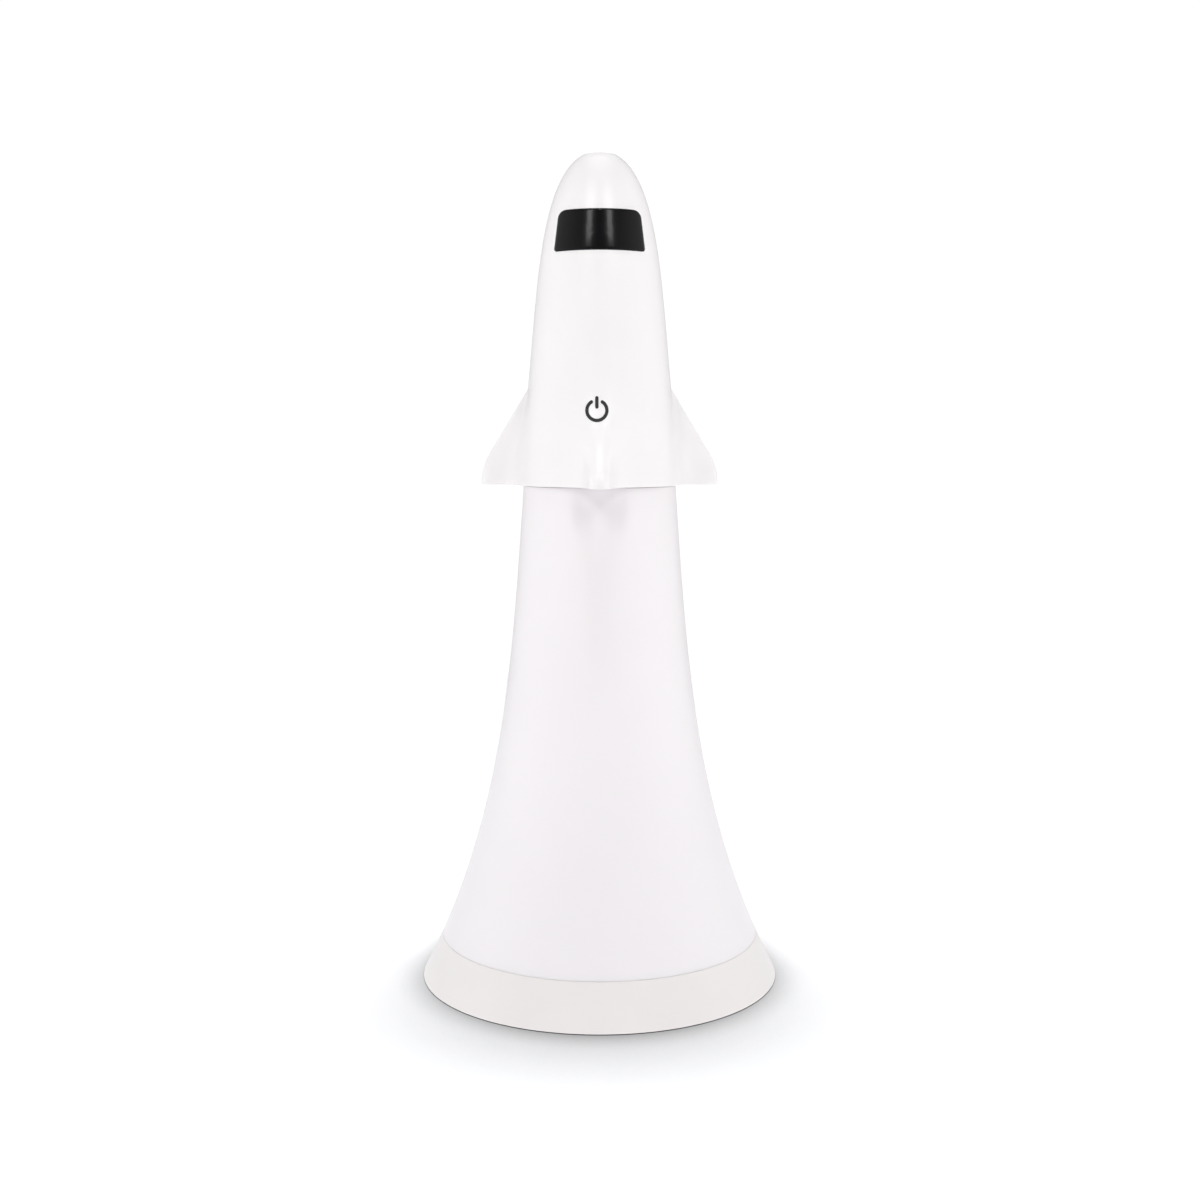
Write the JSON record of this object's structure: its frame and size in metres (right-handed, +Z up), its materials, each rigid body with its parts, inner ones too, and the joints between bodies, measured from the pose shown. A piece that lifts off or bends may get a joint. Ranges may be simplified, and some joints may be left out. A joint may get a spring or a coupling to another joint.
{
  "type": "cool mist humidifier",
  "caption": "Desktop cool mist humidifier: a winged shuttle-shaped atomizer unit with a wick that lifts off a flared, plume-shaped water tank on a round base.",
  "frame": {"origin": "centre of the standing face", "axes": "+Z up, towards the mist outlet; the front, with the windshield, the power symbol and the tail fin, faces -Y; the power socket faces +Y"},
  "size_m": [0.0912, 0.0912, 0.2077],
  "materials": {
    "white_plastic": "fine matt",
    "opal_plastic": "satin, slightly translucent",
    "inner_plastic": "matt",
    "grey_plastic": "matt",
    "tube_plastic": "satin, semi-clear",
    "clear_plastic": "clear",
    "black_gloss": "gloss",
    "black_print": "matt ink",
    "black_plastic": "matt",
    "dark_rubber": "matt",
    "silicone": "satin",
    "steel": "satin",
    "brass": "satin",
    "piezo_ceramic": "matt ceramic",
    "ferrite": "matt",
    "capacitor_tan": "matt",
    "led_plastic": "satin",
    "circuit_board": "satin lacquer",
    "connector_white": "matt",
    "red_wire": "satin",
    "grey_wire": "satin",
    "cotton": "fibrous"
  },
  "bodies": {
    "tank": {"base_cup": "white_plastic", "foot_ring": "dark_rubber", "base_seal": "silicone", "tank_shell": "opal_plastic"},
    "neck_seal": {"neck_seal": "silicone"},
    "shuttle": {"shuttle_shell": "white_plastic", "windshield": "black_gloss", "power_icon": "black_print", "mist_nozzle": "white_plastic", "clamp_ring": "grey_plastic", "disc_gasket": "silicone", "mesh_plate": "steel", "piezo_ring": "piezo_ceramic", "atomizer_carrier": "inner_plastic", "bottom_plate": "inner_plastic", "light_ring": "clear_plastic", "leds": "led_plastic", "led_board": "circuit_board", "plate_screws": "steel", "control_board": "circuit_board", "board_screws": "steel", "usb_shell": "steel", "usb_tongue": "black_plastic", "driver_chip": "black_plastic", "boost_inductor": "ferrite", "capacitors": "capacitor_tan", "lead_connector": "connector_white", "piezo_leads": "red_wire", "sensor_board": "circuit_board", "touch_spring": "brass", "touch_plate": "brass", "touch_lead": "grey_wire", "led_leads": "grey_wire"},
    "wick_holder": {"wick_tube": "tube_plastic", "wick_spring": "steel"},
    "wick": {"cotton_wick": "cotton"}
  },
  "joints": [
    {"name": "shuttle_lift", "type": "slide", "parent": "tank", "child": "neck_seal", "axis": [0, 0, 1], "range_m": [0, 0.125]},
    {"name": "shuttle_swivel", "type": "hinge", "parent": "neck_seal", "child": "shuttle", "pos_m": [0, 0, 0.1307], "axis": [0, 0, 1], "continuous": true},
    {"name": "wick_holder_release", "type": "slide", "parent": "shuttle", "child": "wick_holder", "axis": [0, 0, -1], "range_m": [0, 0.007]},
    {"name": "wick_travel", "type": "slide", "parent": "wick_holder", "child": "wick", "axis": [0, 0, 1], "range_m": [-0.003, 0], "stiffness_N_per_m": 60, "springref_m": 0.002, "deforming": ["wick_spring"]}
  ]
}
